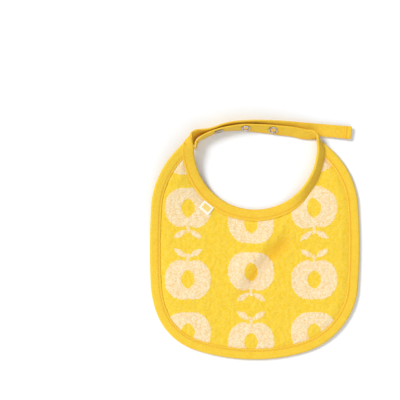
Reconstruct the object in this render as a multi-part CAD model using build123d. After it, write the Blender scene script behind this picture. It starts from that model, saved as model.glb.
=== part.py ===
from build123d import *
from math import cos, radians, sin, sqrt
import os

# Baby bib of terry-knit cloth, lying face up on a table, as a set of separate pieces, in millimetres.
# +X is the wearer's left when worn, +Y runs from the hem up to the neck, and +Z is up off the table.
# The pieces are laid out about the middle of the bib and moved at the end, so that the origin is the
# bottom centre of the whole object's box.

# ---- driving dimensions -------------------------------------------------------------------------
BIB_BOTTOM_Y = -124.6
# The outline's two halves, from the bottom centre outwards: radius and turn of each arc in a row.
# They differ a little, as the cloth lies pulled to its right.
RIGHT_ARCS = [(179, 16.5), (79, 53.5), (66, 15.5), (584, 8.5), (87, 44)]
LEFT_ARCS = [(203, 18), (63, 52), (105, 17), (700, 6.5), (92, 39.5)]
SHOULDER_RUN = 13.0  # straight edge from the last arc up to the shoulder corner
OUTLINE_TOP_Y = 108.0  # closes the outline across the neck

NECK_Y = 95.0  # centre of the round neck hole
NECK_RADIUS = 64.0
NECK_BINDING_WIDTH = 12.0
NECK_BINDING_END_Y = 96.5  # above this, the neck tape leaves the panels and twists
OUTER_BINDING_WIDTH = 9.5

CLOTH_THICKNESS = 0.9  # one panel
BINDING_THICKNESS = 3.4  # outside to outside, folded over both panels
BINDING_WALL = 0.7  # the binding's own cloth
EDGE_WALL = 1.0  # the binding's fold beyond the panels' edge
EASE = 0.05  # gap between pieces that are sewn together

# The left shoulder is lifted: the cloth curls up beyond a straight line across the bib.
CURL_RADIUS = 320.0
CURL_START = 30.0  # distance of that line from the middle, along the curl's direction
CURL_X, CURL_Y = -0.5, sqrt(0.75)

TAPE_WIDTH = 13.0
TAPE_THICKNESS = 1.7

STITCH_WIDTH = 0.6
STITCH_HEIGHT = 0.25
STITCH_INSET = 1.1  # from the seam to the stitch row
STRAP_STITCH = -5.55  # from the tape's middle line to its stitch row, near the lower edge
HEM_LENGTH = 8.5
HEM_THICKNESS = 0.5  # how far the folded end stands proud of the tape

SNAP_DIAMETER = 9.5
SNAP_BORE = 6.2  # the socket's mouth
SNAP_WEB = 1.2  # thickness of the tape squeezed between the two halves of a snap
SNAP_SHANK = 3.4  # diameter of the tube that goes through the tape
SNAP_PITCH = 28.4
SNAP_FIRST = 29.3  # from the right strap's free end to the first socket
STUD_FROM_END = 14.5
HIDDEN_CAP_RADIUS, HIDDEN_CAP_THICKNESS = 3.7, 0.35
HIDDEN_CAP_HEIGHT = 0.55  # its far face, off the tape's middle face

LABEL_ANGLE = 230.5  # about the neck's centre
LABEL_WIDTH, LABEL_LENGTH, LABEL_THICKNESS = 12.0, 9.0, 0.8
LABEL_GAP = 0.4  # above the front panel

# Stations of the two straps, from the shoulder to the free end: x and y of the tape's middle line, its
# tilt from flat in degrees, and the height of its lower edge. The upper edge is the one away from the neck.
RIGHT_STRAP = [
    (52.6, 108.9, 45, 0.3), (40, 111.5, 46, 0.3), (27, 113.1, 48, 0.3), (14, 114.5, 52, 0.3),
    (1, 115.5, 58, 0.3), (-12, 116.2, 65, 0.3), (-25, 115.4, 74, 0.3), (-37, 113.3, 79, 0.3),
    (-47, 109.8, 78, 0.3), (-54, 106.4, 77, 0.3), (-58.8, 102.8, 78, 0.3), (-61.2, 97.2, 80, 0.3),
]
LEFT_STRAP = [
    (-55.0, 111.9, 73, 0.4), (-47, 113.2, 75, 0.3), (-41, 115.2, 77, 0.3), (-33, 118.0, 77, 0.3),
    (-24, 119.9, 76, 0.3), (-14, 120.7, 73, 0.3), (-3, 120.8, 68, 0.3), (10, 120.0, 60, 0.3),
    (24, 118.7, 50, 0.3), (37, 117.0, 38, 0.3), (50, 115.4, 27, 0.3), (62, 114.0, 17, 0.4),
    (74, 112.9, 11, 0.8), (87, 111.6, 7, 1.3), (101, 109.9, 5, 1.5),
]
# The half twist of the neck tape from each shoulder to its strap: upper edge, lower edge and thickness.
# The folded edge beside the neck rises to become the strap's upper edge.
RIGHT_TWIST = [
    ((64.0, 95.6, 2.6), (75.6, 95.6, 2.4), 3.2), ((63.9, 101.0, 7.0), (71.5, 100.2, 2.0), 2.8),
    ((63.8, 106.3, 10.5), (66.6, 104.4, 1.6), 2.3), ((61.6, 111.0, 11.8), (62.2, 104.6, 1.2), 2.0),
    ((56.0, 113.1, 10.5), (56.0, 104.2, 1.0), 1.7),
]
LEFT_TWIST = [
    ((-64.0, 95.6, 12.9), (-75.6, 95.6, 14.4), 3.2), ((-65.2, 101.5, 14.2), (-72.8, 100.8, 13.8), 2.8),
    ((-66.0, 107.5, 14.8), (-68.4, 105.4, 9.4), 2.3), ((-64.0, 112.0, 14.4), (-62.8, 107.0, 3.6), 2.0),
    ((-58.6, 113.5, 13.6), (-57.5, 109.0, 1.0), 1.7),
]


# ---- the bib's plan -----------------------------------------------------------------------------
def half_plan(arcs):
    """One half of the bib's plan, drawn to the right of its middle line and closed across the neck."""
    at, heading, edges = Vector(0, BIB_BOTTOM_Y), 0.0, []
    for radius, turn in arcs:
        direction = (cos(radians(heading)), sin(radians(heading)))
        arc = JernArc(start=at, tangent=direction, radius=radius, arc_size=turn)
        edges.append(arc)
        at, heading = arc @ 1, heading + turn
    shoulder = at + Vector(cos(radians(heading)), sin(radians(heading))) * SHOULDER_RUN
    top = Vector(0, OUTLINE_TOP_Y)
    edges += [Line(at, shoulder), Polyline(shoulder, (shoulder.X, OUTLINE_TOP_Y), top)]
    return make_face(edges + [Line(top, (0, BIB_BOTTOM_Y))])


def outline():
    """The whole of the bib's plan, neck hole not yet cut."""
    return (half_plan(RIGHT_ARCS) + mirror(half_plan(LEFT_ARCS), about=Plane.YZ)).clean()


def disk(radius):
    """A round face about the neck's centre."""
    return Pos(0, NECK_Y) * Circle(radius)


def below(y):
    """Everything in plan that is lower down the bib than y."""
    return Pos(0, y - 200) * Rectangle(400, 400)


def layer(low, high):
    """The space between two heights above the table, which curls up at the left shoulder."""
    side = Plane(origin=(0, 0, 0), x_dir=(CURL_X, CURL_Y, 0), z_dir=(CURL_Y, -CURL_X, 0))
    sweep = 30.0  # degrees of curl, well past the shoulder

    def line(height):
        radius = CURL_RADIUS - height
        end = (CURL_START + radius * sin(radians(sweep)), CURL_RADIUS - radius * cos(radians(sweep)))
        flat = Line((-250, height), (CURL_START, height))
        arc = JernArc(start=(CURL_START, height), tangent=(1, 0), radius=radius, arc_size=sweep)
        return flat, arc, end

    flat_low, arc_low, end_low = line(low)
    flat_high, arc_high, end_high = line(high)
    ends = [Line((-250, low), (-250, high)), Line(end_low, end_high)]
    profile = make_face([flat_low, arc_low, flat_high, arc_high] + ends)
    return extrude(side * profile, amount=250, both=True)


def cloth(plan, low, high):
    """A flat piece of cloth: a plan shape between two heights."""
    return layer(low, high) & extrude(plan, amount=60)


# ---- tapes --------------------------------------------------------------------------------------
def tape(frames, low, high, under, over):
    """A twisted strip through frames of (middle, across, off): across it from low to high, and off its
    middle face from under to over."""
    sections = []
    for middle, across, off in frames:
        corners = [(low, under), (high, under), (high, over), (low, over)]
        points = [middle + across * a + off * h for a, h in corners]
        sections.append(make_face(Polyline(*points, close=True)))
    return loft(sections, ruled=True)


def twist(stations):
    """The neck tape from a shoulder to its strap, through (upper edge, lower edge, thickness)."""
    middles = [(Vector(*upper) + Vector(*lower)) * 0.5 for upper, lower, _ in stations]
    frames = []
    for i, (upper, lower, thickness) in enumerate(stations):
        ahead = middles[min(i + 1, len(stations) - 1)] - middles[max(i - 1, 0)]
        across = Vector(*upper) - Vector(*lower)
        frames.append((middles[i], across, ahead.cross(across).normalized() * thickness))
    return tape(frames, -0.5, 0.5, -0.5, 0.5)


def strap_frames(strap):
    """The middle of each station, free end first, with unit vectors across the tape and off its front."""
    side = 1 if strap[-1][0] > strap[0][0] else -1
    frames = []
    for i, (x, y, tilt, lift) in enumerate(strap):
        before, after = strap[max(i - 1, 0)], strap[min(i + 1, len(strap) - 1)]
        along = Vector(after[0] - before[0], after[1] - before[1]).normalized()
        away = Vector(-along.Y, along.X) * side
        rise, flat = sin(radians(tilt)), cos(radians(tilt))
        height = lift + TAPE_WIDTH / 2 * rise + TAPE_THICKNESS / 2 * flat
        up = Vector(0, 0, 1)
        frames.append((Vector(x, y, height), away * flat + up * rise, up * flat - away * rise))
    return frames[::-1]


def distances(frames):
    """How far each frame is along the middle line."""
    reached = [0.0]
    for a, b in zip(frames, frames[1:]):
        reached.append(reached[-1] + (b[0] - a[0]).length)
    return reached


def frame_at(frames, distance):
    """The frame between two stations, on the same ruled surface as the strap."""
    reached = distances(frames)
    i = max(k for k in range(len(frames) - 1) if k == 0 or reached[k] <= distance)
    part = (distance - reached[i]) / (reached[i + 1] - reached[i])
    return tuple(v * (1 - part) + w * part for v, w in zip(frames[i], frames[i + 1]))


def cut_frames(strap, start, stop):
    """The frames of a strap between two distances from its free end."""
    frames = strap_frames(strap)
    between = [frame for frame, at in zip(frames, distances(frames)) if start < at < stop]
    return [frame_at(frames, start)] + between + [frame_at(frames, stop)]


def strip(strap, start, stop, low, high, under, over):
    """A strip on a strap, between two distances from its free end."""
    return tape(cut_frames(strap, start, stop), low, high, under, over)


def place(strap, distance):
    """A plane on a strap's middle face, with z off its front, at a distance from its free end."""
    near, far = (frame_at(strap_frames(strap), distance + ahead) for ahead in (0.0, 0.1))
    return Plane(origin=near[0], x_dir=far[0] - near[0], z_dir=near[2])


# ---- snap fasteners -----------------------------------------------------------------------------
def turned(points):
    """A turned part about Z from its half section, as (radius, height)."""
    profile = make_face(Polyline(*[(r, 0, z) for r, z in points], close=True))
    return revolve(profile, axis=Axis.Z)


SEAT = SNAP_WEB / 2 + EASE  # where a snap's half meets the tape, off the tape's middle face
RIM = SNAP_DIAMETER / 2
TUBE = SNAP_SHANK / 2
LIP = TUBE + 0.15  # the hole in a snap's half that the tube goes through
BORE = SNAP_BORE / 2
CORE = 0.5  # the hollow in the tube


def socket():
    """The ring-shaped half with a rolled rim and a bore that a stud clicks into."""
    rim = [(LIP, SEAT), (RIM - 0.3, SEAT), (RIM, SEAT + 0.35), (RIM - 0.05, SEAT + 0.8)]
    roll = [(RIM - 0.5, SEAT + 1.15), (RIM - 1.1, SEAT + 1.15), (BORE, SEAT + 0.75)]
    return turned(rim + roll + [(BORE, SEAT + 0.25), (LIP, SEAT + 0.25)])


def stud():
    """The half with the round post."""
    base = [(LIP, SEAT), (RIM - 0.2, SEAT), (RIM - 0.2, SEAT + 0.4), (BORE + 0.2, SEAT + 0.6)]
    post = [(BORE - 0.25, SEAT + 0.9), (BORE - 0.1, SEAT + 1.2), (BORE - 0.3, SEAT + 1.5)]
    return turned(base + post + [(BORE - 0.5, SEAT + 1.5), (BORE - 0.5, SEAT + 0.25), (LIP, SEAT + 0.25)])


def clinched(flange, crown, flare):
    """A flange, closed over the axis at the crown's height, with a tube flared over the other half."""
    core = [(0, crown + 0.3), (CORE, crown + 0.3), (CORE, SEAT + 0.5)]
    head = [(flare - 0.3, SEAT + 0.5), (flare, SEAT + 0.3), (TUBE, SEAT + 0.3)]
    return turned(core + head + flange + [(0, crown)])


def socket_cap():
    """The domed cap on the tape's other face."""
    crown = -SEAT - 1.05
    dome = [(RIM - 0.2, -SEAT), (RIM, -SEAT - 0.3), (RIM - 0.7, -SEAT - 0.85), (RIM - 1.9, crown)]
    return clinched([(TUBE, -SEAT)] + dome, crown, BORE - 0.25)


def stud_cap():
    """The flat cap between the two layers of the folded tape."""
    high, low = HIDDEN_CAP_HEIGHT, HIDDEN_CAP_HEIGHT - HIDDEN_CAP_THICKNESS
    rim = [(TUBE, -low), (HIDDEN_CAP_RADIUS, -low), (HIDDEN_CAP_RADIUS, -high)]
    return clinched(rim, -high, BORE - 0.7)


def seat():
    """The pressed seat that one half takes in the tape's face."""
    return Pos(0, 0, SNAP_WEB / 2 + 2) * Cylinder(RIM + 0.2, 4)


def hole():
    """The hole through the tape."""
    return Cylinder(TUBE + EASE, 8)


def pocket():
    """The room between the tape's two layers for the stud's cap."""
    middle = HIDDEN_CAP_THICKNESS / 2 - HIDDEN_CAP_HEIGHT
    room = Cylinder(HIDDEN_CAP_RADIUS + EASE, HIDDEN_CAP_THICKNESS + 2 * EASE)
    return Pos(0, 0, middle) * room


# ---- the pieces ---------------------------------------------------------------------------------
def make_pieces():
    pieces = {}
    edge = outline()
    inside = offset(edge, amount=-EDGE_WALL)
    seam = offset(edge, amount=-OUTER_BINDING_WIDTH)
    neck_seam = NECK_RADIUS + NECK_BINDING_WIDTH
    top, leg = BINDING_THICKNESS, BINDING_WALL

    # Two panels, back to back in the bindings' channels.
    panel_edge = offset(edge, amount=-EDGE_WALL - EASE)
    panel = panel_edge - disk(NECK_RADIUS + EDGE_WALL + EASE)
    panel = panel & below(NECK_BINDING_END_Y - 2 * EDGE_WALL)
    pieces["back_panel"] = cloth(panel, leg + EASE, leg + EASE + CLOTH_THICKNESS)
    pieces["front_panel"] = cloth(panel, top - leg - EASE - CLOTH_THICKNESS, top - leg - EASE)

    # The outer binding folds over the panels' outer edge, and the neck binding over the neck's.
    def channel(band, wall):
        legs = cloth(band, 0, leg) + cloth(band, top - leg, top)
        return legs + cloth(wall, 0, top)

    outside = edge - disk(neck_seam + EASE)
    pieces["outer_binding"] = channel(outside - seam, outside - inside)
    neck = (disk(neck_seam) - disk(NECK_RADIUS)) & below(NECK_BINDING_END_Y) & edge
    neck_wall = neck & disk(NECK_RADIUS + EDGE_WALL)
    pieces["neck_binding"] = channel(neck, neck_wall) + twist(RIGHT_TWIST) + twist(LEFT_TWIST)

    # The two straps are the neck binding's tape carried on, with their free ends folded and sewn.
    half, face = TAPE_WIDTH / 2, TAPE_THICKNESS / 2
    for name, strap in (("left_strap", LEFT_STRAP), ("right_strap", RIGHT_STRAP)):
        length = distances(strap_frames(strap))[-1]
        body = strip(strap, 0, length, -half, half, -face, face)
        pieces[name] = body + strip(strap, 0, HEM_LENGTH, -half, half, -face - HEM_THICKNESS, -face)
        low, high = STRAP_STITCH - STITCH_WIDTH / 2, STRAP_STITCH + STITCH_WIDTH / 2
        row = (face + EASE, face + STITCH_HEIGHT)
        pieces[name + "_stitching"] = strip(strap, 1, length - 1, low, high, *row)
        hem = (HEM_LENGTH - STITCH_INSET - STITCH_WIDTH, HEM_LENGTH - STITCH_INSET)
        pieces[name + "_hem_stitching"] = strip(strap, *hem, high + 0.3, half - 0.6, *row)

    # Three sockets along the right strap's front, and a stud under the left strap's end.
    for i in range(3):
        spot = place(RIGHT_STRAP, SNAP_FIRST + i * SNAP_PITCH)
        pieces["right_strap"] -= spot * (hole() + seat() + mirror(seat(), about=Plane.XY))
        pieces[f"socket_{i + 1}"] = spot * socket()
        pieces[f"socket_cap_{i + 1}"] = spot * socket_cap()
    spot = place(LEFT_STRAP, STUD_FROM_END)
    under = Plane(origin=spot.origin, x_dir=spot.x_dir, z_dir=-spot.z_dir)
    pieces["left_strap"] -= under * (hole() + seat() + pocket())
    pieces["stud"] = under * stud()
    pieces["stud_cap"] = under * stud_cap()

    # Stitch rows on the two bindings.
    def row(shape):
        return cloth(shape, top + EASE, top + STITCH_HEIGHT)

    far, near = STITCH_INSET + STITCH_WIDTH / 2, STITCH_INSET - STITCH_WIDTH / 2
    outer_row, inner_row = (offset(edge, amount=x - OUTER_BINDING_WIDTH) for x in (far, near))
    pieces["outer_stitching"] = row(outer_row - inner_row - disk(neck_seam + 1))
    neck_row = disk(neck_seam - near) - disk(neck_seam - far)
    pieces["neck_stitching"] = row(neck_row & below(NECK_BINDING_END_Y - 2))

    # The folded label, sewn in beside the neck binding, with its rounded fold outwards.
    outward = Vector(cos(radians(LABEL_ANGLE)), sin(radians(LABEL_ANGLE)))
    start = Vector(0, NECK_Y) + outward * (neck_seam + 0.4)
    reach = start.X * CURL_X + start.Y * CURL_Y - CURL_START
    normal = Vector(-CURL_X * reach / CURL_RADIUS, -CURL_Y * reach / CURL_RADIUS, 1)
    level = top - leg + reach * reach / (2 * CURL_RADIUS) + LABEL_GAP
    block = Pos(LABEL_LENGTH / 2, 0, LABEL_THICKNESS / 2) * Box(LABEL_LENGTH, LABEL_WIDTH, LABEL_THICKNESS)
    fold = block.edges().filter_by(Axis.Y).group_by(Axis.X)[-1]
    block = fillet(fold, LABEL_THICKNESS * 0.45)
    pieces["woven_label"] = Plane(origin=(start.X, start.Y, level), x_dir=outward, z_dir=normal) * block
    return pieces


def main():
    pieces = make_pieces()
    box = Compound(children=[Compound(piece.solids()) for piece in pieces.values()]).bounding_box()
    home = Pos(-(box.min.X + box.max.X) / 2, -(box.min.Y + box.max.Y) / 2, -box.min.Z)
    print("moved by", home.position, "size", box.size)
    os.makedirs("parts", exist_ok=True)
    for name, piece in pieces.items():
        export_step(home * Compound(piece.solids()), f"parts/{name}.step")


main()
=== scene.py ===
import math

import bmesh
import bpy
import numpy as np
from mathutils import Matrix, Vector, kdtree


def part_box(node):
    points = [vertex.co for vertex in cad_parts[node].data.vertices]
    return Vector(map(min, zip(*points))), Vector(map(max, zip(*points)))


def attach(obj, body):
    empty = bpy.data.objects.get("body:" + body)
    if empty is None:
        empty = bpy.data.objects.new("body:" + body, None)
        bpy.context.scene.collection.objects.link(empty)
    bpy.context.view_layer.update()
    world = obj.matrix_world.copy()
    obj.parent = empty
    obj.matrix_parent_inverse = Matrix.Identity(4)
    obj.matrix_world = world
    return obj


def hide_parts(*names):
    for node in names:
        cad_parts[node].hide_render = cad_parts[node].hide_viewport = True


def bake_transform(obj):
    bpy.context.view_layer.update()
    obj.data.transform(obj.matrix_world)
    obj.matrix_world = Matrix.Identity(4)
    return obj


# A baby bib of terry-knit cloth lying face up, with its neck tape and two strap ends, built round the CAD
# frame. Shapes are worked out in millimetres in the bib's own layout, where the neck hole's centre is at
# x = 0, y = NECK_Y, and `home` carries them to the frame.

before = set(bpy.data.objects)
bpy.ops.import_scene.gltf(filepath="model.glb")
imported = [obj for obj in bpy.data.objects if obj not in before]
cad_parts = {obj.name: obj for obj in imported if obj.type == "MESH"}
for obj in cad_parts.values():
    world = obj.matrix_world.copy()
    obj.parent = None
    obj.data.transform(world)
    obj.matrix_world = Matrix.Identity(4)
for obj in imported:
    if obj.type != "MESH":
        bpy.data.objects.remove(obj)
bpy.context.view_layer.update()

# ---- driving dimensions, in millimetres ----------------------------------------------------------
BIB_BOTTOM_Y = -124.6
# The outline's two halves from the bottom centre outwards: radius and turn of each arc in a row.
RIGHT_ARCS = [(179, 16.5), (79, 53.5), (66, 15.5), (584, 8.5), (87, 44)]
LEFT_ARCS = [(203, 18), (63, 52), (105, 17), (700, 6.5), (92, 39.5)]
SHOULDER_RUN = 13.0
NECK_Y, NECK_RADIUS = 95.0, 64.0
RING_WIDTH = 12.0
NECK_SEAM = NECK_RADIUS + RING_WIDTH
BINDING_THICKNESS = 3.4
MIDDLE = BINDING_THICKNESS / 2
OUTER_WIDTH, OUTER_GROOVE = 10.9, 2.1  # width of the outer binding, and its stitch row from the inner lip
OUTER_TUCK = 7.5  # how far the outer binding's ends reach in under the neck tape
# The left shoulder curls up off the table: its radius, where it starts, and the direction it runs in.
CURL_RADIUS, CURL_START = 320.0, 30.0
CURL = np.array([-0.5, math.sqrt(0.75)])
TAPE_WIDTH, TAPE_THICKNESS = 13.0, 1.7
TAPE_GROOVE = 0.95  # the straps' stitch rows from their lower edge
TAPE_RIB = 1.5  # pitch of the ribs across a tape
CLOTH_WALL = 0.65  # thickness of the binding's own cloth
END_ROUND, END_TAPER = 1.6, 0.8  # a free end's rounded corners, and the run over which it thins to its edge
PANEL_THICKNESS = 0.9
PANEL_INSET = 4.0  # from the bib's edge and the neck's fold to the panels' own edges
PANEL_TOP_Y = 95.5  # where the panels end at the shoulders
PANEL_GRID_X, PANEL_GRID_Y = (-112, 112), (-127, 98)  # the grid that they are cut from
FRONT_CELL, BACK_CELL = 0.9, 1.3
BACK_TOP = 1.65  # height of the back panel's upper face
FRONT_TOP = 2.65  # height of the front panel's face where it enters the bindings
STITCH_PITCH, STITCH_LENGTH, STITCH_RADIUS = 2.9, 2.1, 0.28
HEM_LENGTH, HEM_SWELL = 7.0, 0.7  # a strap end's folded hem, and how much thicker it is
SNAP_RADIUS, SNAP_SEAT = 4.75, 0.65
IMPRINT_RADIUS, STUD_FROM_END = 3.5, 13.1  # the stud shows through the tape as a faint ring

# Stations of the straps from the shoulder to the free end: x, y, tilt in degrees, height of the lower edge.
RIGHT_STRAP = [
    (52.6, 108.9, 45, 0.3), (40, 111.5, 46, 0.3), (27, 113.1, 48, 0.3), (14, 114.5, 52, 0.3),
    (1, 115.5, 58, 0.3), (-12, 116.2, 65, 0.3), (-25, 115.4, 74, 0.3), (-37, 113.3, 79, 0.3),
    (-47, 109.8, 78, 0.3), (-54, 106.4, 78, 0.3), (-60.3, 101.8, 84, 0.3), (-62.8, 93.4, 90, 0.3),
]
LEFT_STRAP = [
    (-55.0, 111.9, 73, 0.4), (-47, 113.2, 75, 0.3), (-41, 115.2, 77, 0.3), (-33, 118.0, 77, 0.3),
    (-24, 119.9, 76, 0.3), (-14, 120.7, 73, 0.3), (-3, 120.8, 68, 0.3), (10, 120.0, 60, 0.3),
    (24, 118.7, 50, 0.3), (37, 117.0, 38, 0.3), (50, 115.4, 27, 0.3), (62, 114.0, 17, 0.4),
    (74, 112.9, 11, 0.8), (87, 111.8, 7, 1.3), (99.7, 110.6, 5, 1.5),
]
# The half twist from each shoulder to its strap: upper edge, lower edge, thickness and bulge.
RIGHT_TWIST = [
    ((63.5, 99.6, 10.9), (69.4, 98.4, 2.0), 2.8, 0.4),
    ((63.6, 104.3, 11.4), (67.0, 102.2, 2.0), 2.6, 0.4),
    ((63.4, 108.6, 11.6), (64.9, 104.8, 1.6), 2.3, 0.4),
    ((60.6, 112.0, 11.6), (61.2, 104.7, 1.3), 2.0, 0.3),
    ((56.4, 113.2, 10.6), (56.4, 104.3, 1.1), 1.8, 0.2),
]
LEFT_TWIST = [
    ((-64.6, 100.2, 14.0), (-74.2, 99.9, 13.3), 3.2, 0.3),
    ((-65.3, 104.4, 14.5), (-70.6, 102.8, 11.4), 2.8, 1.4),
    ((-66.6, 109.0, 14.8), (-65.5, 98.2, 6.0), 2.1, 2.0),
    ((-64.4, 112.0, 14.4), (-62.3, 104.0, 3.0), 2.0, 0.8),
    ((-59.4, 113.5, 13.7), (-57.8, 108.3, 1.1), 1.8, 0.3),
]
RING_STEP = 9  # degrees between the ring's sections
ROLL_START, ROLL_END, ROLL = 288, 332, 49.0  # where the ring rolls up on its right, and by how much

# The folded label: its angle about the neck's centre, and its size.
LABEL_ANGLE = math.radians(230.5)
LABEL_LENGTH, LABEL_HALF_WIDTH, LABEL_THICKNESS = 9.2, 6.3, 0.26
LABEL_LOOP = 0.3  # radius of its fold

# The knitted-in fruit: its middle column and the step to the columns beside it, the period of its rows, the
# lines that they are mirrored about in the side columns and in the middle one, and each fruit's distance
# from them.
COLUMN_X, COLUMN_PITCH = -4.5, 65.5
MIRROR_PERIOD, MIRROR_SIDE, MIRROR_CENTRE = 130.0, -3.8, -69.0
FRUIT_CENTRE = 37.4
# The two ends of the soft diagonal crease.
CREASE_START, CREASE_END = np.array([31.0, 4.5]), np.array([-21.0, -53.0])

CAMERA_AT, CAMERA_LENS = (-57.46, 40.92, 1300), 112.5

SHARP = math.radians(55)  # edges that turn by more than this are not smoothed over

chance = np.random.default_rng(7)


# ---- small tools ---------------------------------------------------------------------------------
def smooth(value, low, high):
    """0 below low, 1 above high, and an even ease between."""
    part = np.clip((value - low) / (high - low), 0, 1)
    return part * part * (3 - 2 * part)


def unit(vectors):
    return vectors / np.linalg.norm(vectors, axis=-1, keepdims=True)


def bump(value, middle, width):
    """A soft hump of height 1."""
    return np.exp(-(((value - middle) / width) ** 2))


def loop_faces(count, around):
    """Quads between loops of points that follow each other, and the points' numbers, loop by loop."""
    index = np.arange(count * around).reshape(count, around)
    beside = np.roll(index, -1, axis=1)
    quads = np.stack([index[:-1], beside[:-1], beside[1:], index[1:]], axis=-1)
    return index, quads.reshape(-1, 4).tolist()


def metres(point):
    """A point of the layout in the frame, in metres."""
    return tuple(float(c) for c in (np.asarray(point, float) + home) / 1000)


def make(name, points, faces, material, body=None, **values):
    """A mesh piece from points in the layout, with per-point values for its material."""
    mesh = bpy.data.meshes.new(name)
    mesh.from_pydata(((np.asarray(points) + home) / 1000).tolist(), [], [list(map(int, f)) for f in faces])
    for key, value in values.items():
        value = np.asarray(value, float)
        kind, field = ("FLOAT_VECTOR", "vector") if value.ndim > 1 else ("FLOAT", "value")
        mesh.attributes.new(key, kind, "POINT").data.foreach_set(field, value.ravel())
    shape = bmesh.new()
    shape.from_mesh(mesh)
    bmesh.ops.recalc_face_normals(shape, faces=shape.faces)
    for face in shape.faces:
        face.smooth = True
    for edge in shape.edges:
        edge.smooth = edge.calc_face_angle(0) < SHARP
    shape.to_mesh(mesh)
    shape.free()
    mesh.materials.append(material)
    piece = bpy.data.objects.new(name, mesh)
    bpy.context.scene.collection.objects.link(piece)
    if body:
        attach(piece, body)
    return piece


# ---- the bib's plan and the surface it lies on ---------------------------------------------------
def half_outline(arcs):
    """Points along one half of the bib's edge, from the bottom centre, drawn to the right."""
    at, heading, half = np.array([0.0, BIB_BOTTOM_Y]), 0.0, []
    for radius, turn in arcs:
        centre = at + radius * np.array([-math.sin(heading), math.cos(heading)])
        for part in np.linspace(0, 1, 60):
            angle = heading + math.radians(turn) * part
            half.append(centre + radius * np.array([math.sin(angle), -math.cos(angle)]))
        at, heading = half[-1], heading + math.radians(turn)
        half.pop()
    ahead = np.array([math.cos(heading), math.sin(heading)])
    return np.array(half + [at + ahead * run for run in np.linspace(0, SHOULDER_RUN, 8)])


def outline(step):
    """Evenly spaced points along the bib's edge, from the left shoulder round to the right one."""
    whole = np.vstack([half_outline(LEFT_ARCS)[:0:-1] * (-1, 1), half_outline(RIGHT_ARCS)])
    reached = np.append(0, np.cumsum(np.linalg.norm(np.diff(whole, axis=0), axis=1)))
    even = np.linspace(0, reached[-1], int(reached[-1] / step) + 1)
    return np.column_stack([np.interp(even, reached, whole[:, i]) for i in (0, 1)])


EDGE = outline(0.6)
home = np.append(np.array(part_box("outer_binding")[0][:2]) * 1000 - EDGE.min(axis=0), 0.0)
EDGE_AHEAD = unit(np.gradient(EDGE, axis=0))
EDGE_INWARD = np.column_stack([-EDGE_AHEAD[:, 1], EDGE_AHEAD[:, 0]])
edge_tree = kdtree.KDTree(len(EDGE))
for index, (edge_x, edge_y) in enumerate(EDGE):
    edge_tree.insert((edge_x, edge_y, 0), index)
edge_tree.balance()


def from_edge(x, y):
    """How far inside the bib's edge each point is."""
    nearest = [edge_tree.find((a, b, 0))[1] for a, b in zip(x.ravel(), y.ravel())]
    gap = np.column_stack([x.ravel(), y.ravel()]) - EDGE[nearest]
    return np.sum(gap * EDGE_INWARD[nearest], axis=1).reshape(x.shape)


def ground(x, y):
    """Height of the layer the bib lies on: the table, a soft unevenness, and the curled left shoulder."""
    run = np.clip(x * CURL[0] + y * CURL[1] - CURL_START, 0, None)
    curl = CURL_RADIUS - np.sqrt(CURL_RADIUS**2 - run**2)
    wave = 0.3 * (1 + np.sin(x / 29 + 0.6) * np.cos(y / 34 - 0.4)) * (1 - smooth(y, 60, 92))
    return curl + wave


def lay(x, y, height):
    """A point at a height off that layer, square to it."""
    small = 0.05
    slope_x = (ground(x + small, y) - ground(x - small, y)) / (2 * small)
    slope_y = (ground(x, y + small) - ground(x, y - small)) / (2 * small)
    normal = unit(np.stack([-slope_x, -slope_y, np.ones_like(slope_x)], axis=-1))
    return np.stack([x, y, ground(x, y)], axis=-1) + normal * np.asarray(height)[..., None]


def ring_edges(angle):
    """The neck ring's fold and seam edges at an angle about the neck's centre, on its middle face."""
    turn = np.radians(angle)
    spoke = np.stack([np.cos(turn), np.sin(turn)], axis=-1)
    roll = smooth(angle, ROLL_START, ROLL_END)
    tilt = np.radians(ROLL * roll)
    fold_radius = NECK_RADIUS - 0.4 * roll
    seam_radius = fold_radius + RING_WIDTH * np.cos(tilt)
    fold_radius, seam_radius = fold_radius[..., None], seam_radius[..., None]
    fold, seam = (spoke * r + (0, NECK_Y) for r in (fold_radius, seam_radius))
    fold = lay(fold[..., 0], fold[..., 1], np.full(turn.shape, MIDDLE))
    seam = lay(seam[..., 0], seam[..., 1], np.full(turn.shape, MIDDLE))
    fold[..., 2] += RING_WIDTH * np.sin(tilt)
    return fold, seam


def on_cloth(x, y, height):
    """Where a point of the flat panels lies: they follow the ring where they are inside it."""
    radius = np.hypot(x, y - NECK_Y)
    angle = np.degrees(np.arctan2(y - NECK_Y, x)) % 360
    angle = np.where(angle < 90, angle + 360, angle)
    fold, seam = ring_edges(angle)
    across = fold - seam
    along = np.stack([-np.sin(np.radians(angle)), np.cos(np.radians(angle)), np.zeros_like(angle)], axis=-1)
    off = unit(np.cross(along, across))
    part = (NECK_SEAM - radius) / RING_WIDTH
    inside = seam + across * part[..., None] + off * (height - MIDDLE)[..., None]
    seam_radius = np.hypot(seam[..., 0], seam[..., 1] - NECK_Y)
    pulled = radius - (NECK_SEAM - seam_radius) * (1 - smooth(radius, NECK_SEAM, NECK_SEAM + 16))
    part = pulled / radius
    outside = lay(x * part, NECK_Y + (y - NECK_Y) * part, height)
    return np.where((radius < NECK_SEAM)[..., None], inside, outside)


# ---- the fruit pattern ---------------------------------------------------------------------------
def lens(x, y, long_half, wide_half):
    """Distance to a pointed oval whose points are at y = +-long_half."""
    radius = (long_half**2 + wide_half**2) / (2 * wide_half)
    return np.hypot(np.abs(x) + radius - wide_half, y) - radius


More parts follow.
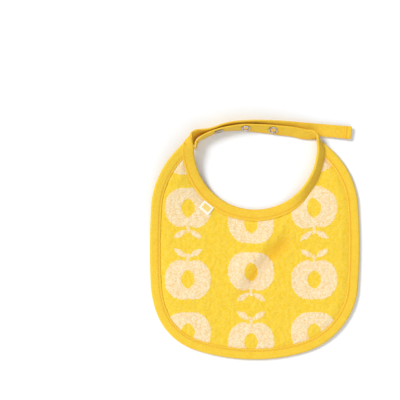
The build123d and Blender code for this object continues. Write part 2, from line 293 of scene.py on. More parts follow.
def fruit(x, y):
    """Distance to the nearest fruit with its stem and leaves, negative inside. Every other fruit is upside
    down, and the cloth gathered into the crease brings the pattern above it lower."""
    y = y + bump(x, 3, 44) * (2.2 + 5.6 * smooth(y, -16, 0)) * smooth(y, -66, -40)
    column = np.clip(np.round((x - COLUMN_X) / COLUMN_PITCH), -1, 1)
    across = x - COLUMN_X - column * COLUMN_PITCH
    middle = np.where(column == 0, MIRROR_CENTRE, MIRROR_SIDE)
    up = FRUIT_CENTRE - np.abs((y - middle + MIRROR_PERIOD / 2) % MIRROR_PERIOD - MIRROR_PERIOD / 2)
    angle = np.degrees(np.arctan2(up, np.abs(across)))
    power = 2.25
    body = (np.abs(across / 23.8) ** power + np.abs(up / 21.8) ** power) ** (1 / power)
    radius = np.hypot(across, up)
    edge = radius / np.maximum(body, 1e-6) * (1 - 0.17 * bump(angle, 90, 17) - 0.05 * bump(angle, -90, 18))
    shape = np.maximum(radius - edge, -lens(across, up, 9.8, 7.1))
    stem = np.hypot(across, up - np.clip(up, 19.0, 25.0)) - 1.5
    sine, cosine = math.sin(math.radians(33)), math.cos(math.radians(33))
    side, rise = np.abs(across) - 8.3, up - 27.6
    leaf = lens(-side * sine + rise * cosine, side * cosine + rise * sine, 7.6, 2.9)
    return np.minimum(np.minimum(shape, stem), leaf)


# ---- panels --------------------------------------------------------------------------------------
def soft_noise(shape, passes):
    """Seeded noise on a grid, smoothed a few times, with a spread of 1."""
    field = chance.standard_normal(shape)
    for _ in range(passes):
        for axis in (0, 1):
            field = (np.roll(field, 1, axis) + 2 * field + np.roll(field, -1, axis)) / 4
    return field / field.std()


def past_bindings(edge, radius):
    """How far past the bindings' lips a point of the panels is."""
    return np.minimum(edge - OUTER_WIDTH, radius - NECK_SEAM)


def slab(cell, faces_of):
    """A closed sheet on a square grid, with its rim inside the bindings. faces_of gives the heights of its
    two faces."""
    x, y = np.meshgrid(np.arange(*PANEL_GRID_X, cell), np.arange(*PANEL_GRID_Y, cell))
    radius = np.hypot(x, y - NECK_Y)
    edge = from_edge(x, y)
    out = np.maximum(np.maximum(PANEL_INSET - edge, NECK_RADIUS + PANEL_INSET - radius), y - PANEL_TOP_Y)
    middle = (out[:-1, :-1] + out[1:, :-1] + out[:-1, 1:] + out[1:, 1:]) / 4
    rows, columns = np.nonzero(middle < 0)
    wide = x.shape[1]
    first = rows * wide + columns
    quads = np.column_stack([first, first + 1, first + wide + 1, first + wide])
    sides = np.vstack([quads[:, [i, (i + 1) % 4]] for i in range(4)])
    key = np.sort(sides, axis=1)
    _, back, count = np.unique(key, axis=0, return_inverse=True, return_counts=True)
    rim = sides[count[back.ravel()] == 1]
    slope_y, slope_x = np.gradient(out, cell)
    steep = np.maximum(np.hypot(slope_x, slope_y), 0.2) ** 2
    on_rim = np.zeros(x.size, bool)
    on_rim[rim.ravel()] = True
    snap = np.where(on_rim.reshape(x.shape), out / steep, 0)
    x, y = x - slope_x * snap, y - slope_y * snap
    top, bottom = faces_of(x, y, edge, radius)
    used = np.unique(quads)
    new = np.full(x.size, -1)
    new[used] = np.arange(len(used))
    quads, rim = new[quads], new[rim]
    flat = np.stack([x, y, np.zeros_like(x)], axis=-1).reshape(-1, 3)[used]
    upper, lower = (on_cloth(flat[:, 0], flat[:, 1], h.ravel()[used]) for h in (top, bottom))
    size = len(used)
    walls = np.column_stack([rim[:, 1], rim[:, 0], rim[:, 0] + size, rim[:, 1] + size])
    faces = np.vstack([quads, quads[:, ::-1] + size, walls])
    near_seam = past_bindings(edge, radius).ravel()[used]
    return np.vstack([upper, lower]), faces, np.vstack([flat, flat]), np.tile(near_seam, 2)


def crease(x, y):
    """The ridge and the valley, each 0 to 1, of the soft diagonal fold across the middle of the bib."""
    along = unit(CREASE_END - CREASE_START)
    off_x, off_y = x - CREASE_START[0], y - CREASE_START[1]
    run = off_x * along[0] + off_y * along[1]
    side = -off_x * along[1] + off_y * along[0] + 2.5 * np.sin(run / 17)
    length = np.linalg.norm(CREASE_END - CREASE_START)
    fade = smooth(run, -12, 14) * (1 - smooth(run, length - 22, length + 12))
    return fade * bump(side, -7.0, 8.5), fade * bump(side, 5.0, 7.5)


def front_faces(x, y, edge, radius):
    seam = past_bindings(edge, radius)
    puff = 1.0 * (1 - np.exp(-np.clip(seam, 0, None) / 2.2))
    waves = 0.35 * np.sin(x / 19 + y / 31) * np.cos(y / 23 - x / 47)
    pile = 0.09 * soft_noise(x.shape, 1) + 0.1 * soft_noise(x.shape, 5)
    raised = 0.16 * (1 - smooth(fruit(x, y), -0.7, 0.7))
    inner = smooth(seam, 0, 9)
    ridge, valley = crease(x, y)
    relief = waves + 0.4 + 1.2 * ridge - 1.2 * valley
    top = FRONT_TOP + puff + inner * relief + smooth(seam, -1, 1) * (pile + raised)
    return top, np.full(x.shape, FRONT_TOP - PANEL_THICKNESS) + 0.6 * inner * (waves + 0.4)


def back_faces(x, y, edge, radius):
    seam = past_bindings(edge, radius)
    pile = 0.07 * soft_noise(x.shape, 1) + 0.08 * soft_noise(x.shape, 4)
    bottom = BACK_TOP - PANEL_THICKNESS - smooth(seam, 0, 5) * (0.3 + pile)
    return np.full(x.shape, BACK_TOP), bottom


# ---- tapes ---------------------------------------------------------------------------------------
class Tape:
    """A strip of binding folded along its upper edge over whatever it holds, swept through stations of
    (upper edge, lower edge, thickness, groove from the lower edge, depth of the groove, bulge)."""

    def __init__(self, stations, step):
        keys = np.array([[*upper, *lower, *rest] for upper, lower, *rest in stations], float)
        middle = (keys[:, :3] + keys[:, 3:6]) / 2
        self.reached = np.append(0, np.cumsum(np.linalg.norm(np.diff(middle, axis=0), axis=1)))
        self.keys = keys
        self.slopes = np.gradient(keys, self.reached, axis=0)
        self.length = self.reached[-1]
        self.step = step

    def at(self, runs):
        """The stations' values at distances along the tape, on a smooth curve through them all."""
        runs = np.asarray(runs, float)
        i = np.clip(np.searchsorted(self.reached, runs, side="right") - 1, 0, len(self.reached) - 2)
        span = self.reached[i + 1] - self.reached[i]
        part = ((runs - self.reached[i]) / span)[:, None]
        span = span[:, None]
        near, far = self.keys[i], self.keys[i + 1]
        out, into = self.slopes[i] * span, self.slopes[i + 1] * span
        cube, square = part**3, part**2
        return (
            near * (2 * cube - 3 * square + 1) + out * (cube - 2 * square + part)
            + far * (3 * square - 2 * cube) + into * (cube - square)
        )

    def axes(self, runs):
        """At distances along: lower edge, width, unit vectors across and off the front, and the stations'
        values."""
        near = 0.2
        here = self.at(runs)
        before, after = self.at(np.asarray(runs) - near), self.at(np.asarray(runs) + near)
        upper, lower = here[:, :3], here[:, 3:6]
        ahead = after[:, :6] - before[:, :6]
        ahead = unit(ahead[:, :3] + ahead[:, 3:])
        width = np.linalg.norm(upper - lower, axis=1)
        across = (upper - lower) / width[:, None]
        return lower, width, across, unit(np.cross(ahead, across)), here

    def half(self, across, width, here, runs):
        """Half the tape's thickness at a distance from its lower edge, with its crown, groove and lip."""
        thickness, groove, depth = here[:, 6:7], here[:, 7:8], here[:, 8:9]
        share = across / width[:, None]
        pull = 0.75 + 0.25 * np.cos(2 * np.pi * runs / STITCH_PITCH)[:, None]
        half = thickness / 2 * (1 + 0.1 * np.sin(np.pi * np.clip(share, 0, 1)))
        half -= depth * pull * bump(across, groove, 0.2 + 0.22 * thickness / MIDDLE / 2)
        half += 0.25 * depth * bump(across, 0.4 * groove, 0.35 * groove)
        return half


def tape_piece(name, tape, material, body=None, start=0.0, stop=None, ribs=0.04, free_end=None, spots=()):
    """One closed piece of a tape between two distances along it."""
    stop = tape.length if stop is None else stop
    runs = np.linspace(start, stop, int((stop - start) / tape.step) + 1)
    if free_end is not None:
        inward = 1 if free_end == start else -1
        tip = free_end + inward * np.array([0.0, 0.02, 0.08, 0.2, 0.35, 0.55, 0.8])
        runs = np.sort(np.append(runs[np.abs(runs - free_end) > 0.9], tip))
    lower, width, across, off, here = tape.axes(runs)
    here = here.copy()
    end_gap = np.full(len(runs), 99.0) if free_end is None else np.abs(runs - free_end)
    corner = END_ROUND - np.sqrt(np.clip(END_ROUND**2 - (END_ROUND - end_gap) ** 2, 0, None))
    inset = np.where(end_gap < END_ROUND, corner, 0)
    hem = 1 - smooth(end_gap, HEM_LENGTH - 0.3, HEM_LENGTH + 0.3)
    lower = lower + across * (inset - 0.2 * hem)[:, None]
    width = width - 2 * inset + 0.4 * hem
    pressed_lip, furrow = bump(end_gap, HEM_LENGTH - 0.7, 0.6), bump(end_gap, HEM_LENGTH - 2.6, 0.6)
    here[:, 6] += HEM_SWELL * hem + 0.7 * pressed_lip - 0.35 * furrow
    taper = np.sqrt(np.clip(1 - (1 - np.clip(end_gap / END_TAPER, 0, 1)) ** 2, 0.01, 1))[:, None]
    groove = np.minimum(here[:, 7], 0.45 * width)
    round_off = np.minimum(here[:, 6] / 2, width / 4)
    lip = groove[:, None] * np.array([0, 0.04, 0.12, 0.3, 0.5, 0.68, 0.84, 0.93, 1.0])
    flat = groove[:, None] + (width - round_off - groove)[:, None] * np.array(
        [0.035, 0.07, 0.11, 0.16, 0.24, 0.33, 0.44, 0.55, 0.66, 0.77, 0.87, 0.94, 1.0])
    turn = np.radians([15, 30, 45, 60, 75, 90])
    fold = (width - round_off)[:, None] + round_off[:, None] * np.sin(turn)
    outer_across = np.hstack([lip, flat, fold])
    half = tape.half(outer_across, width, here, runs)
    half[:, :2] -= here[:, 6:7] * np.array([0.05, 0.015])
    half[:, -6:] = half[:, -7:-6] * np.cos(turn)
    rib = ribs * np.sin(2 * np.pi * runs / TAPE_RIB)[:, None] * (half > 0.25 * here[:, 6:7])
    half = (half + rib) * taper
    pick = [*range(0, 25, 3), 26, 27]  # the outer points that the inner face repeats
    wall = np.minimum(CLOTH_WALL, 0.38 * here[:, 6:7]) * taper
    inner_half = np.maximum(half[:, pick] - wall, 0.2 * half[:, pick])
    inner_across = outer_across[:, pick] * (1 - wall / width[:, None])
    loop_across = np.hstack([outer_across, outer_across[:, -2::-1], inner_across, inner_across[:, -2::-1]])
    loop_off = np.hstack([half, -half[:, -2::-1], -inner_half, inner_half[:, -2::-1]])
    bulge = here[:, 9:10] * np.sin(np.pi * np.clip(loop_across / width[:, None], 0, 1))
    aside = off[:, None] * (loop_off + bulge)[..., None]
    points = lower[:, None] + across[:, None] * loop_across[..., None] + aside
    count, around = loop_across.shape
    index, faces = loop_faces(count, around)
    for row in (index[0], index[-1]):
        faces += cap_faces(row, outer_across.shape[1])
    points = points.reshape(-1, 3)
    for spot, axis, radius, level in spots:
        points = pressed(points, spot, axis, radius, level)
    # Painted shade, stored as the shade value: the stitch groove and two lines across the hem are darkened
    # towards DEEP in the material.
    painted_shade = bump(loop_across, here[:, 7:8], 0.5 + 0.1 * here[:, 6:7]) * np.clip(here[:, 8:9] / 0.3, 0, 1)
    painted_shade += (1.3 * bump(end_gap, HEM_LENGTH + 0.5, 0.6))[:, None]
    painted_shade += (0.6 * bump(end_gap, HEM_LENGTH - 2.6, 0.5))[:, None]
    values = {"along": np.repeat(runs, around), "across": loop_across.ravel(), "shade": painted_shade.ravel()}
    return make(name, points, faces, material, body, **values)


def cap_faces(row, outer):
    """Faces that close the end of a folded tape, between its outer and inner loops."""
    outside, inside = row[: 2 * outer - 1], row[2 * outer - 1:][::-1]
    faces, i, j = [], 0, 0
    while i < len(outside) - 1 or j < len(inside) - 1:
        behind = i / (len(outside) - 1) <= j / (len(inside) - 1)
        if j == len(inside) - 1 or (i < len(outside) - 1 and behind):
            faces.append([outside[i], outside[i + 1], inside[j]])
            i += 1
        else:
            faces.append([outside[i], inside[j + 1], inside[j]])
            j += 1
    return faces


def pressed(points, spot, axis, radius, level):
    """Points near a snap, pressed down to where its half is seated."""
    gap = points - spot
    height = gap @ axis
    away = np.linalg.norm(gap - height[:, None] * axis, axis=1)
    near = (away < radius + 1.6) & (np.abs(height) < 3)
    kept = smooth(away, radius, radius + 1.5)
    low = np.where(height > level, level + (height - level) * kept, height)
    return points + axis * (np.where(near, low, height) - height)[:, None]


def stitches(name, rows, material, body=None):
    """Rows of thread, each row given as the middles, directions and normals of its stitches."""
    turn = np.linspace(0, 2 * np.pi, 7)[:-1]
    rings = [(-0.5, 0.25), (-0.42, 0.75), (-0.2, 1.0), (0.2, 1.0), (0.42, 0.75), (0.5, 0.25)]
    local = np.array([(a, r * math.cos(t), r * math.sin(t)) for a, r in rings for t in turn])
    index, faces = loop_faces(len(rings), len(turn))
    faces += [tuple(index[0]), tuple(index[-1])]
    points, all_faces, along = [], [], []
    for middles, ahead, normal in rows:
        side = unit(np.cross(ahead, normal))
        for m, a, s, n in zip(middles, ahead, side, normal):
            base = len(points) * len(local)
            length = STITCH_LENGTH * (1 + 0.06 * chance.standard_normal())
            a = unit(a + s * 0.05 * chance.standard_normal())
            arch = 0.16 * (1 - (2 * local[:, 0]) ** 2)
            points.append(
                m + a * (local[:, 0:1] * length) + s * (local[:, 1:2] * STITCH_RADIUS)
                + n * (local[:, 2] * STITCH_RADIUS * 0.8 + arch)[:, None]
            )
            along.append(local[:, 0] * length)
            all_faces += [tuple(base + v for v in face) for face in faces]
    return make(name, np.vstack(points), all_faces, material, body, along=np.concatenate(along))


def tape_rows(tape, start, stop, faces=(1, -1), inward=0.0):
    """The stitch rows in a tape's groove, on its front and back."""
    runs = np.arange(start + STITCH_PITCH / 2, stop - STITCH_PITCH / 2, STITCH_PITCH)
    lower, width, across, off, here = tape.axes(runs)
    groove = here[:, 7] + inward
    half = tape.half(groove[:, None], width, here, runs)[:, 0]
    bulge = here[:, 9] * np.sin(np.pi * groove / width)
    ahead = unit(np.cross(across, off))
    rows = []
    for face in faces:
        middles = lower + across * groove[:, None] + off * (bulge + face * (half + 0.02))[:, None]
        rows.append((middles, ahead, off * face))
    return rows


def hem_rows(tape, end, direction):
    """The row across a hem, on both faces."""
    first, margin = 2.6, 3.2  # the row keeps clear of the tape's edges
    steps = np.arange((TAPE_WIDTH - margin) // STITCH_PITCH) * STITCH_PITCH + first
    run = np.full(len(steps), end - direction * (HEM_LENGTH - 1.1))
    lower, _, across, off, here = tape.axes(run)
    half = tape.half(steps[:, None], np.full(len(steps), TAPE_WIDTH), here, run)[:, 0] + 0.33
    rows = []
    for face in (1, -1):
        middles = lower + across * steps[:, None] + off * (face * half)[:, None]
        rows.append((middles, across, off * face))
    return rows


def strap_stations(strap):
    """A strap's stations as upper edge, lower edge, thickness, groove, depth and bulge."""
    side = 1 if strap[-1][0] > strap[0][0] else -1
    stations = []
    for i, (x, y, tilt, lift) in enumerate(strap):
        before, after = strap[max(i - 1, 0)], strap[min(i + 1, len(strap) - 1)]
        along = unit(np.array([after[0] - before[0], after[1] - before[1], 0.0]))
        away = np.array([-along[1], along[0], 0.0]) * side
        rise, flat = math.sin(math.radians(tilt)), math.cos(math.radians(tilt))
        across = away * flat + np.array([0, 0, rise])
        middle = np.array([x, y, lift + TAPE_WIDTH / 2 * rise + TAPE_THICKNESS / 2 * flat])
        upper, lower = middle + across * TAPE_WIDTH / 2, middle - across * TAPE_WIDTH / 2
        stations.append((upper, lower, TAPE_THICKNESS, TAPE_GROOVE, 0.22, 0.0))
    return stations


def twist_stations(twist):
    return [(upper, lower, thickness, 1.2, 0.25, bulge) for upper, lower, thickness, bulge in twist]


def ring_stations():
    """The neck ring from the left shoulder to the right."""
    angles = np.arange(180, 361, RING_STEP).astype(float)
    folds, seams = ring_edges(angles)
    stations = []
    for angle, fold, seam in zip(angles, folds, seams):
        left = 1 - smooth(angle, 180, 215)
        right = smooth(angle, ROLL_START, ROLL_END)
        groove = 3.0 - 1.3 * right - 1.2 * left
        ear = 1 - smooth(angle, 180, 198)
        thickness = BINDING_THICKNESS + 0.7 * ear - 0.5 * right
        stations.append((fold, seam, thickness, groove, 0.5 - 0.3 * left, 0.4 * right))
    return stations


# ---- materials -----------------------------------------------------------------------------------
def linear(colour):
    """An sRGB colour, 0 to 255, as the shader's own values."""
    shares = [c / 255 for c in colour]
    return tuple(c / 12.92 if c <= 0.04045 else ((c + 0.055) / 1.055) ** 2.4 for c in shares) + (1.0,)


class Shader:
    """A material with one principled shader and short ways to add nodes to it."""

    def __init__(self, name, values):
        self.material = bpy.data.materials.new(name)
        self.material.use_nodes = True
        self.tree = self.material.node_tree
        self.shader = self.tree.nodes["Principled BSDF"]
        for key, value in values.items():
            self.shader.inputs[key].default_value = value

    def node(self, kind, inputs, **settings):
        made = self.tree.nodes.new(kind)
        for key, value in settings.items():
            setattr(made, key, value)
        for key, value in inputs.items():
            self.put(made.inputs[key], value)
        return made

    def put(self, socket, value):
        if isinstance(value, bpy.types.NodeSocket):
            self.tree.links.new(value, socket)
        else:
            socket.default_value = value

    def math(self, operation, *values):
        return self.node("ShaderNodeMath", dict(enumerate(values)), operation=operation).outputs[0]

    def read(self, name, output="Fac"):
        return self.node("ShaderNodeAttribute", {}, attribute_name=name).outputs[output]

    def noise(self, vector, scale, detail=2.0):
        inputs = {"Vector": vector, "Scale": scale, "Detail": detail}
        return self.node("ShaderNodeTexNoise", inputs).outputs["Fac"]

    def vector(self, x, y=0.0, z=0.0):
        return self.node("ShaderNodeCombineXYZ", {0: x, 1: y, 2: z}).outputs[0]

    def place(self):
        return self.node("ShaderNodeTexCoord", {}).outputs["Object"]

    def scatter(self, vector):
        """A value of its own, 0 to 1, for every different vector."""
        return self.node("ShaderNodeTexWhiteNoise", {"Vector": vector}).outputs["Value"]

    def wave(self, value, pitch):
        """0 to 1 and back over each pitch."""
        turn = self.math("SINE", self.math("MULTIPLY", value, 2 * math.pi / pitch))
        return self.math("MULTIPLY_ADD", turn, 0.5, 0.5)

    def mix(self, part, first, second):
        made = self.node("ShaderNodeMix", {}, data_type="RGBA")
        for key, value in ((0, part), (6, first), (7, second)):
            self.put(made.inputs[key], value)
        return made.outputs[2]

    def ease(self, value, low, high, start=0.0, end=1.0):
        inputs = {"Value": value, "From Min": low, "From Max": high, "To Min": start, "To Max": end}
        return self.node("ShaderNodeMapRange", inputs, interpolation_type="SMOOTHSTEP").outputs[0]

    def finish(self, colour, height, depth, strength=0.8):
        self.put(self.shader.inputs["Base Color"], colour)
        inputs = {"Height": height, "Strength": strength, "Distance": depth / 1000}
        made = self.node("ShaderNodeBump", inputs)
        self.put(self.shader.inputs["Normal"], made.outputs[0])
        return self.material


YELLOW, DARK_YELLOW, PALE_YELLOW = linear((245, 208, 48)), linear((242, 201, 36)), linear((249, 224, 104))
# DEEP is painted shade: the deeper orange that the yellow cloth shows in its hollows, along its seams and
# in the crease, where light bounces between its faces. The tapes' random mottle also leans a little towards
# it.
DEEP = linear((232, 160, 22))  # in the hollows and along the seams
CREAM, PALE_CREAM, CREAM_SHADE = linear((244, 208, 146)), linear((248, 238, 206)), linear((218, 184, 142))
OUTER_COLOUR, NECK_COLOUR = linear((240, 203, 52)), linear((239, 198, 50))
RIB_PITCH, LOOP_PITCH = 1.3, 1.05  # of the terry's loops, across and along the knit


def terry(name, patterned):
    """Knitted terry: vertical ribs, rows of loops, and the fruit knitted in."""
    surface = {"Roughness": 0.92, "Sheen Weight": 0.12, "Sheen Roughness": 0.5, "Specular IOR Level": 0.15}
    s = Shader(name, surface)
    cloth = s.read("cloth", "Vector")
    split = s.node("ShaderNodeSeparateXYZ", {0: cloth})
    x, y = split.outputs[0], split.outputs[1]
    wander = s.noise(cloth, 0.35)
    ribs = s.wave(s.math("MULTIPLY_ADD", wander, 0.9, x), RIB_PITCH)
    loops = s.wave(s.math("MULTIPLY_ADD", ribs, 0.4, y), LOOP_PITCH)
    fuzz = s.noise(cloth, 1.9, 3.0)
    knit = s.math("MULTIPLY", s.math("MULTIPLY_ADD", loops, 0.5, 0.5), ribs)
    height = s.math("MULTIPLY_ADD", fuzz, 0.75, s.math("MULTIPLY", knit, 0.45))
    mottle = s.noise(cloth, 0.16, 4.0)
    shift = s.noise(cloth, 1.1, 2.0)
    cell_x = s.math("SNAP", s.math("MULTIPLY_ADD", shift, 1.6, x), RIB_PITCH)
    cell_y = s.math("SNAP", s.math("MULTIPLY_ADD", fuzz, 1.4, y), LOOP_PITCH)
    jag = s.scatter(s.vector(cell_x, cell_y))
    loop = s.scatter(s.vector(jag, 0.37))
    base = s.mix(s.ease(mottle, 0.3, 0.75), DARK_YELLOW, YELLOW)
    base = s.mix(s.math("MULTIPLY", loop, 0.55), base, PALE_YELLOW)
    # Painted shade: the yellow is tinted towards DEEP in the crease's valley, and the fruit's cream towards
    # CREAM_SHADE.
    valley = s.read("valley")
    base = s.mix(s.math("MULTIPLY", valley, 0.5), base, DEEP)
    if patterned:
        edge = s.math("ADD", s.read("motif"), s.math("MULTIPLY_ADD", jag, 1.1, -0.55))
        pale = s.mix(loop, CREAM, PALE_CREAM)
        pale = s.mix(s.math("MULTIPLY", valley, 0.4), pale, CREAM_SHADE)
        base = s.mix(s.ease(edge, -0.25, 0.25, 1.0, 0.0), base, pale)
    # Painted shade: the low parts of the knit's relief are tinted towards DEEP.
    low = s.ease(height, 0.35, 0.75, 0.35, 0.0)
    crevice_shaded = s.mix(low, base, s.mix(0.5, base, DEEP))
    # Painted shade: the cloth next to the bindings' lips is tinted towards DEEP, along the seam.
    seam = s.ease(s.read("seam"), 0.0, 1.2, 0.35, 0.0)
    return s.finish(s.mix(seam, crevice_shaded, DEEP), height, 0.45)


def ribbed(name, colour, imprint=False):
    """Binding tape with fine ribs across its length, and the stud's faint ring if imprint is true."""
    surface = {"Roughness": 0.85, "Sheen Weight": 0.1, "Sheen Roughness": 0.45, "Specular IOR Level": 0.2}
    s = Shader(name, surface)
    along, across = s.read("along"), s.read("across")
    place = s.vector(along, across)
    speck = s.scatter(s.vector(s.math("SNAP", along, 1.2), s.math("SNAP", across, 1.0)))
    wander = s.noise(place, 0.5)
    ribs = s.wave(s.math("MULTIPLY_ADD", wander, 0.7, along), 1.25)
    threads = s.wave(s.math("MULTIPLY_ADD", ribs, 0.3, across), 0.7)
    fuzz = s.noise(place, 2.2, 3.0)
    rough = s.math("MULTIPLY_ADD", fuzz, 0.5, s.math("MULTIPLY", ribs, 0.5))
    height = s.math("MULTIPLY_ADD", threads, 0.2, rough)
    mottle = s.ease(s.noise(place, 0.12, 4.0), 0.3, 0.75)
    base = s.mix(mottle, s.mix(0.18, colour, DEEP), colour)
    base = s.mix(s.math("MULTIPLY", speck, 0.35), base, PALE_YELLOW)
    if imprint:
        stud = s.vector(STUD_FROM_END, TAPE_WIDTH / 2)
        away = s.node("ShaderNodeVectorMath", {0: place, 1: stud}, operation="DISTANCE").outputs["Value"]
        ring = s.ease(s.math("ABSOLUTE", s.math("SUBTRACT", away, IMPRINT_RADIUS)), 0.0, 0.9, 1.0, 0.0)
        height = s.math("MULTIPLY_ADD", ring, -0.9, height)
    # Painted shade: the low parts of the ribs' relief are tinted towards DEEP. The shade value tints the
    # stitch groove and the hem's lines the same way.
    low = s.ease(height, 0.3, 0.75, 0.45, 0.0)
    crevice_shaded = s.mix(low, base, s.mix(0.6, base, DEEP))
    return s.finish(s.mix(s.math("MULTIPLY", s.read("shade"), 0.45), crevice_shaded, DEEP), height, 0.22)


def thread_material():
    s = Shader("thread", {"Roughness": 0.6, "Sheen Weight": 0.1, "Specular IOR Level": 0.3})
    place = s.place()
    plies = s.wave(s.read("along"), 0.5)
    height = s.math("MULTIPLY_ADD", s.noise(place, 2500.0), 0.4, plies)
    # Painted shade and highlight: the thread is darker in the hollows between its plies and paler on their
    # crests, following the bump's height.
    colour = s.mix(s.ease(height, 0.2, 1.1), linear((232, 176, 42)), linear((252, 218, 96)))
    return s.finish(colour, height, 0.06)


def metal_material():
    """Nickel-plated brass."""
    s = Shader("nickel", {"Metallic": 1.0, "Roughness": 0.25})
    place = s.place()
    smudge = s.noise(place, 900.0, 4.0)
    s.put(s.shader.inputs["Roughness"], s.ease(smudge, 0.3, 0.7, 0.18, 0.34))
    colour = s.mix(s.ease(smudge, 0.35, 0.7), linear((176, 172, 190)), linear((206, 202, 214)))
    return s.finish(colour, s.noise(place, 3500.0), 0.01, 0.3)


def enamel_material():
    """Yellow enamel on the snaps' caps."""
    s = Shader("enamel", {"Roughness": 0.35, "Coat Weight": 0.4, "Coat Roughness": 0.2})
    place = s.place()
    cloud = s.ease(s.noise(place, 500.0, 4.0), 0.3, 0.7)
    colour = s.mix(cloud, linear((242, 186, 38)), linear((250, 204, 60)))
    return s.finish(colour, s.noise(place, 1400.0), 0.015, 0.4)


def label_material():
    """Woven satin ribbon, white with a plain striped patch."""
    s = Shader("label_ribbon", {"Roughness": 0.55, "Sheen Weight": 0.1, "Specular IOR Level": 0.35})
    split = s.node("ShaderNodeSeparateXYZ", {0: s.read("place", "Vector")})
    side, out, face = split.outputs
    weave = s.math("MULTIPLY", s.wave(side, 0.35), s.wave(out, 0.28))
    middle = 4.5  # the patch's middle from the seam
    wide = s.ease(s.math("ABSOLUTE", side), 4.45, 4.6, 1.0, 0.0)
    tall = s.ease(s.math("ABSOLUTE", s.math("SUBTRACT", out, middle)), 2.95, 3.1, 1.0, 0.0)
    patch = s.math("MULTIPLY", s.math("MULTIPLY", wide, tall), face)
    stripes = s.ease(s.wave(out, 2.0), 0.75, 0.9)
    yellow = s.mix(stripes, linear((250, 206, 66)), linear((253, 236, 180)))
    colour = s.mix(patch, linear((252, 250, 243)), yellow)
    shade = s.ease(weave, 0.0, 1.0, 0.12, 0.0)
    return s.finish(s.mix(shade, colour, linear((214, 200, 170))), weave, 0.05)


front_terry, back_terry = terry("front_terry", True), terry("back_terry", False)
outer_tape, neck_tape = ribbed("outer_tape", OUTER_COLOUR), ribbed("neck_tape", NECK_COLOUR, imprint=True)
thread, label_ribbon = thread_material(), label_material()
nickel, enamel = metal_material(), enamel_material()


# ---- the pieces ----------------------------------------------------------------------------------
def panels():
    points, faces, flat, seam = slab(FRONT_CELL, front_faces)
    # The crease's valley is also handed to the material, which paints shade into the cloth's colour there.
    motif, valley = fruit(flat[:, 0], flat[:, 1]), crease(flat[:, 0], flat[:, 1])[1]
    front = make(
        "front_cloth", points, faces, front_terry, "panel",
        cloth=flat, seam=seam, motif=motif, valley=valley,
    )
    points, faces, flat, seam = slab(BACK_CELL, back_faces)
    back = make("back_cloth", points, faces, back_terry, "panel", cloth=flat, seam=seam)
    for piece, node, slot in ((front, "front_panel", "front_terry"), (back, "back_panel", "back_terry")):
        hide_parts(node)


def outer_binding():
    """The binding round the outer edge, folded over both panels and sewn."""
    radius = np.hypot(EDGE[:, 0], EDGE[:, 1] - NECK_Y)
    kept = np.nonzero(radius > NECK_SEAM - OUTER_TUCK)[0][::5]
    # Its ends narrow under the neck tape.
    width = np.clip(1.5 * (radius[kept] - NECK_RADIUS - 1.0), 2.0, OUTER_WIDTH)
    fold, lip = EDGE[kept], EDGE[kept] + EDGE_INWARD[kept] * width[:, None]
    height = np.full(len(kept), MIDDLE)
    fold, lip = lay(fold[:, 0], fold[:, 1], height), lay(lip[:, 0], lip[:, 1], height)
    rest = (OUTER_GROOVE, 0.45, 0.0)
    every_fourth = np.arange(0, len(kept), 4)
    swell = 0.08 * np.interp(np.arange(len(kept)), every_fourth, chance.standard_normal(len(every_fourth)))
    tape = Tape([(f, l, BINDING_THICKNESS + w, *rest) for f, l, w in zip(fold, lip, swell)], 0.72)
    piece = tape_piece("outer_binding_tape", tape, outer_tape, "panel", ribs=0.0)
    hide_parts("outer_binding")
    rows = stitches("outer_stitch_row", tape_rows(tape, 3, tape.length - 3), thread, "panel")
    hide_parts("outer_stitching")


def snap_axis(half, cap):
    """A snap's place on the tape's middle face and its axis, from its two halves."""
    meshes = [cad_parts[name].data for name in (half, cap)]
    half_points, cap_points = (np.array([v.co[:] for v in m.vertices]) * 1000 - home for m in meshes)
    middle = half_points.mean(axis=0)
    axis = unit(middle - cap_points.mean(axis=0))
    return middle + axis * (((half_points - middle) @ axis).min() - SNAP_SEAT), axis


def seats(half, cap):
    """Where a snap presses the tape's two faces."""
    spot, axis = snap_axis(half, cap)
    return [(spot, way, SNAP_RADIUS + 0.15, SNAP_SEAT - 0.07) for way in (axis, -axis)]


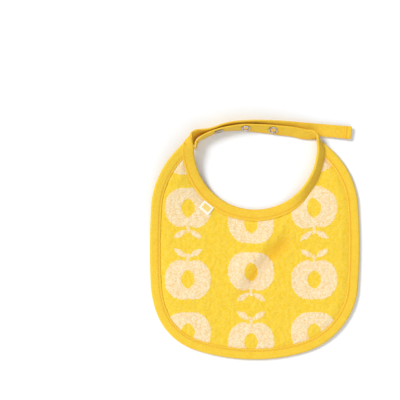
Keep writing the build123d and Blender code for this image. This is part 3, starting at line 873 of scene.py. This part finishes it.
def neck_tape_pieces():
    """One tape from the left strap's end, round the neck, to the right strap's end, in three pieces."""
    left = (twist_stations(LEFT_TWIST) + strap_stations(LEFT_STRAP))[::-1]
    ring = ring_stations()
    right = twist_stations(RIGHT_TWIST) + strap_stations(RIGHT_STRAP)
    tape = Tape(left + ring + right, 0.5)
    first, last = tape.reached[len(left)], tape.reached[len(left) + len(ring) - 1]
    spots = [seat for i in (1, 2, 3) for seat in seats(f"socket_{i}", f"socket_cap_{i}")]
    spot, axis = snap_axis("stud", "stud_cap")
    under = [(spot, axis, SNAP_RADIUS, SNAP_SEAT - 0.07)]

    end = tape.length
    ring_piece = tape_piece("neck_ring_tape", tape, neck_tape, "panel", first, last)
    left_piece = tape_piece("left_strap_tape", tape, neck_tape, None, 0.0, first, free_end=0.0, spots=under)
    right_piece = tape_piece("right_strap_tape", tape, neck_tape, None, last, free_end=end, spots=spots)
    ring_row = stitches("neck_stitch_row", tape_rows(tape, first, last), thread, "panel")
    left_row = stitches("left_strap_stitch_row", tape_rows(tape, 1.5, first), thread)
    right_row = stitches("right_strap_stitch_row", tape_rows(tape, last, end - 1.5), thread)
    left_hem = stitches("left_hem_stitch_row", hem_rows(tape, 0.0, -1), thread, "left_strap")
    right_hem = stitches("right_hem_stitch_row", hem_rows(tape, end, 1), thread, "right_strap")

    for piece, node, slot in (
        (ring_piece, "neck_binding", "binding_tape"),
        (left_piece, "left_strap", "binding_tape"),
        (right_piece, "right_strap", "binding_tape"),
        (ring_row, "neck_stitching", "thread"),
        (left_row, "left_strap_stitching", "thread"),
        (right_row, "right_strap_stitching", "thread"),
        (left_hem, "left_strap_hem_stitching", "thread"),
        (right_hem, "right_strap_hem_stitching", "thread"),
    ):
        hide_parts(node)

    # Each strap's tape and stitch row have their transforms baked into their meshes.
    for piece in (left_piece, left_row):
        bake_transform(piece)
    for piece in (right_piece, right_row):
        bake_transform(piece)


def label():
    """A ribbon folded in half, its ends sewn in under the neck binding's lip."""
    outward = np.array([math.cos(LABEL_ANGLE), math.sin(LABEL_ANGLE)])
    side = np.array([-outward[1], outward[0]])
    turn = np.radians(np.linspace(-90, 90, 9)[1:-1])
    tip = LABEL_LENGTH - LABEL_LOOP
    straight = np.linspace(0, tip, 16)
    path = [(r, -LABEL_LOOP) for r in straight]
    path += [(tip + LABEL_LOOP * math.cos(t), LABEL_LOOP * math.sin(t)) for t in turn]
    path += [(r, LABEL_LOOP) for r in straight[::-1]]
    ahead = unit(np.gradient(np.array(path), axis=0))
    normal = np.column_stack([ahead[:, 1], -ahead[:, 0]])
    half = normal * LABEL_THICKNESS / 2
    loop_points = np.vstack([path + half, (path - half)[::-1]])
    widths = np.linspace(-LABEL_HALF_WIDTH, LABEL_HALF_WIDTH, 25)
    around, count = len(loop_points), len(widths)
    out, wide = np.meshgrid(loop_points[:, 0], widths)
    high = np.tile(loop_points[:, 1], (count, 1))
    start = NECK_SEAM - 0.5
    x = (start + out) * outward[0] + wide * side[0]
    y = NECK_Y + (start + out) * outward[1] + wide * side[1]
    rise = 3.35 + 0.95 * smooth(out, 0, 5) + 0.25 * smooth(out, 5, 9) * (1 + wide / LABEL_HALF_WIDTH)
    points = lay(x, y, high + rise)
    index, faces = loop_faces(count, around)
    pairs = around // 2
    for row in (index[0], index[-1]):
        faces += [[row[k], row[k + 1], row[around - 2 - k], row[around - 1 - k]] for k in range(pairs - 1)]
    upper = (high > 0).astype(float)
    place = np.stack([wide, out, upper], axis=-1).reshape(-1, 3)
    piece = make("folded_label", points.reshape(-1, 3), faces, label_ribbon, place=place)
    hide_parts("woven_label")
    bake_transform(piece)


def snaps():
    for name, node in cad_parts.items():
        if name.startswith(("socket", "stud")):
            finish = enamel if "cap" in name else nickel
            node.data.materials.clear()
            node.data.materials.append(finish)


def stage():
    """Pale floor, soft light from the upper left, and the camera straight above."""
    scene = bpy.context.scene
    floor = bpy.data.meshes.new("floor")
    corners = (-4, -4), (4, -4), (4, 4), (-4, 4)
    floor.from_pydata([(x, y, -0.0004) for x, y in corners], [], [(0, 1, 2, 3)])
    table = bpy.data.objects.new("floor", floor)
    scene.collection.objects.link(table)
    paper = Shader("paper", {"Roughness": 0.9, "Specular IOR Level": 0.1})
    grain = paper.noise(paper.place(), 300.0)
    colour = paper.mix(grain, (0.885, 0.905, 0.94, 1), (0.905, 0.925, 0.96, 1))
    floor.materials.append(paper.finish(colour, grain, 0.02, 0.2))

    world = bpy.data.worlds.new("studio")
    world.use_nodes = True
    sky = world.node_tree.nodes["Background"].inputs
    sky["Color"].default_value, sky["Strength"].default_value = (1, 1, 1, 1), 0.43
    scene.world = world

    # Each light's name, strength, apparent size in degrees and direction.
    lights = ("key", 2.3, 20, (-0.72, 0.46, 0.8)), ("fill", 0.9, 60, (0.1, -0.72, 0.75))
    for name, energy, angle, towards in lights:
        lamp = bpy.data.lights.new(name, "SUN")
        lamp.energy, lamp.angle = energy, math.radians(angle)
        light = bpy.data.objects.new(name, lamp)
        light.rotation_euler = Vector(towards).to_track_quat("Z", "Y").to_euler()
        scene.collection.objects.link(light)

    lens_data = bpy.data.cameras.new("camera")
    lens_data.sensor_width, lens_data.lens = 36.0, CAMERA_LENS
    camera = bpy.data.objects.new("camera", lens_data)
    camera.location = metres(CAMERA_AT)
    scene.collection.objects.link(camera)
    scene.camera = camera
    scene.view_settings.view_transform = "Standard"


panels()
outer_binding()
neck_tape_pieces()
label()
snaps()
stage()
